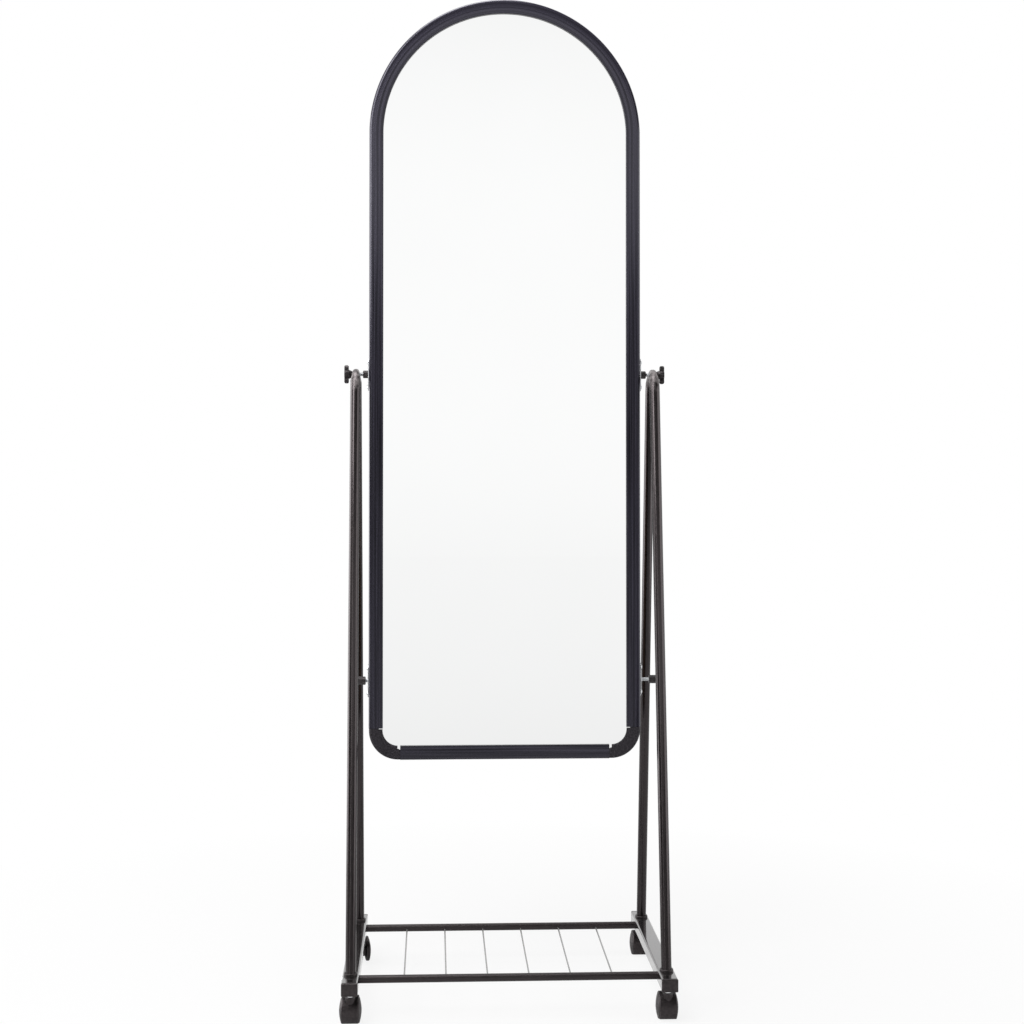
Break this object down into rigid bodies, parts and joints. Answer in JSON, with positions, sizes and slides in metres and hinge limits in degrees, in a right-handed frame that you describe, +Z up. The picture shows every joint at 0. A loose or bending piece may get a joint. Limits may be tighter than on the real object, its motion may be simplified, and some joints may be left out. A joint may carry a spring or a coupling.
{
  "type": "rolling dressing mirror",
  "caption": "Free-standing arched dressing mirror that tilts between two A-shaped tube sides on casters, with a low wire shelf.",
  "frame": {"origin": "on the floor, midway between the four casters, under the middle of the mirror", "axes": "+Z up, +X to the right of someone who looks into the glass, the glass faces -Y"},
  "size_m": [0.5196, 0.41, 1.602],
  "materials": {
    "frame_plastic": "extruded black plastic, smooth satin sheen",
    "elbow_plastic": "moulded black plastic, fine grain",
    "mirror_glass": "silvered float glass with polished edges",
    "backing_board": "brown hardboard",
    "zinc": "bright zinc plated steel",
    "hardware_plastic": "moulded black plastic",
    "black_tube": "black powder coat on bent steel tube",
    "gloss_rail": "glossy black paint on steel section",
    "plug_plastic": "moulded black plastic, fine grain",
    "bright_wire": "plated steel wire",
    "caster_plastic": "moulded black nylon, fine grain",
    "wheel_plastic": "moulded black nylon"
  },
  "bodies": {
    "stand": {"leg_frame_left": "black_tube", "leg_frame_right": "black_tube", "side_rail_left": "gloss_rail", "side_rail_right": "gloss_rail", "end_plug_front_left": "plug_plastic", "leg_collar_front_left": "plug_plastic", "end_plug_front_right": "plug_plastic", "leg_collar_front_right": "plug_plastic", "end_plug_rear_left": "plug_plastic", "leg_collar_rear_left": "plug_plastic", "end_plug_rear_right": "plug_plastic", "leg_collar_rear_right": "plug_plastic", "crossbar_front": "black_tube", "crossbar_rear": "black_tube", "shelf_wires": "bright_wire", "crossbar_bolts": "zinc", "caster_stem_front_left": "zinc", "caster_stem_front_right": "zinc", "caster_stem_rear_left": "zinc", "caster_stem_rear_right": "zinc"},
    "mirror": {"arch_channel": "frame_plastic", "bottom_rail": "frame_plastic", "elbow_left": "elbow_plastic", "elbow_right": "elbow_plastic", "mirror_glass": "mirror_glass", "backing_board": "backing_board", "bracket_upper_left": "zinc", "bracket_upper_right": "zinc", "bracket_lower_left": "zinc", "bracket_lower_right": "zinc", "bracket_screws": "zinc", "pivot_stud_left": "zinc", "pivot_stud_right": "zinc", "stop_stud_left": "zinc", "stop_stud_right": "zinc", "star_nut_left": "hardware_plastic", "star_nut_right": "hardware_plastic", "tilt_stop_left": "hardware_plastic", "tilt_stop_right": "hardware_plastic"},
    "knob_left": {"wing_knob_left": "hardware_plastic"},
    "knob_right": {"wing_knob_right": "hardware_plastic"},
    "caster_front_left": {"caster_hood_front_left": "caster_plastic", "axle_front_left": "zinc"},
    "wheel_front_left_inner": {"wheel_front_left_inner": "wheel_plastic"},
    "wheel_front_left_outer": {"wheel_front_left_outer": "wheel_plastic"},
    "caster_front_right": {"caster_hood_front_right": "caster_plastic", "axle_front_right": "zinc"},
    "wheel_front_right_inner": {"wheel_front_right_inner": "wheel_plastic"},
    "wheel_front_right_outer": {"wheel_front_right_outer": "wheel_plastic"},
    "caster_rear_left": {"caster_hood_rear_left": "caster_plastic", "axle_rear_left": "zinc"},
    "wheel_rear_left_inner": {"wheel_rear_left_inner": "wheel_plastic"},
    "wheel_rear_left_outer": {"wheel_rear_left_outer": "wheel_plastic"},
    "caster_rear_right": {"caster_hood_rear_right": "caster_plastic", "axle_rear_right": "zinc"},
    "wheel_rear_right_inner": {"wheel_rear_right_inner": "wheel_plastic"},
    "wheel_rear_right_outer": {"wheel_rear_right_outer": "wheel_plastic"}
  },
  "joints": [
    {"name": "mirror_tilt", "type": "hinge", "parent": "stand", "child": "mirror", "pos_m": [0, 0, 0.992], "axis": [1, 0, 0], "range_deg": [-9.5, 9.5]},
    {"name": "knob_left_turn", "type": "hinge", "parent": "mirror", "child": "knob_left", "pos_m": [-0.2533, 0, 0.992], "axis": [-1, 0, 0], "range_deg": [0, 360]},
    {"name": "knob_right_turn", "type": "hinge", "parent": "mirror", "child": "knob_right", "pos_m": [0.2533, 0, 0.992], "axis": [1, 0, 0], "range_deg": [0, 360]},
    {"name": "swivel_front_left", "type": "hinge", "parent": "stand", "child": "caster_front_left", "pos_m": [-0.241, -0.176, 0.042], "axis": [0, 0, 1], "continuous": true},
    {"name": "roll_front_left_inner", "type": "hinge", "parent": "caster_front_left", "child": "wheel_front_left_inner", "pos_m": [-0.241, -0.166, 0.019], "axis": [1, 0, 0], "continuous": true},
    {"name": "roll_front_left_outer", "type": "hinge", "parent": "caster_front_left", "child": "wheel_front_left_outer", "pos_m": [-0.241, -0.166, 0.019], "axis": [1, 0, 0], "continuous": true},
    {"name": "swivel_front_right", "type": "hinge", "parent": "stand", "child": "caster_front_right", "pos_m": [0.241, -0.176, 0.042], "axis": [0, 0, 1], "continuous": true},
    {"name": "roll_front_right_inner", "type": "hinge", "parent": "caster_front_right", "child": "wheel_front_right_inner", "pos_m": [0.241, -0.166, 0.019], "axis": [1, 0, 0], "continuous": true},
    {"name": "roll_front_right_outer", "type": "hinge", "parent": "caster_front_right", "child": "wheel_front_right_outer", "pos_m": [0.241, -0.166, 0.019], "axis": [1, 0, 0], "continuous": true},
    {"name": "swivel_rear_left", "type": "hinge", "parent": "stand", "child": "caster_rear_left", "pos_m": [-0.241, 0.176, 0.042], "axis": [0, 0, 1], "continuous": true},
    {"name": "roll_rear_left_inner", "type": "hinge", "parent": "caster_rear_left", "child": "wheel_rear_left_inner", "pos_m": [-0.23926, 0.16615, 0.019], "axis": [-0.9848, -0.1736, 0], "continuous": true},
    {"name": "roll_rear_left_outer", "type": "hinge", "parent": "caster_rear_left", "child": "wheel_rear_left_outer", "pos_m": [-0.23926, 0.16615, 0.019], "axis": [-0.9848, -0.1736, 0], "continuous": true},
    {"name": "swivel_rear_right", "type": "hinge", "parent": "stand", "child": "caster_rear_right", "pos_m": [0.241, 0.176, 0.042], "axis": [0, 0, 1], "continuous": true},
    {"name": "roll_rear_right_inner", "type": "hinge", "parent": "caster_rear_right", "child": "wheel_rear_right_inner", "pos_m": [0.241, 0.186, 0.019], "axis": [1, 0, 0], "continuous": true},
    {"name": "roll_rear_right_outer", "type": "hinge", "parent": "caster_rear_right", "child": "wheel_rear_right_outer", "pos_m": [0.241, 0.186, 0.019], "axis": [1, 0, 0], "continuous": true}
  ]
}
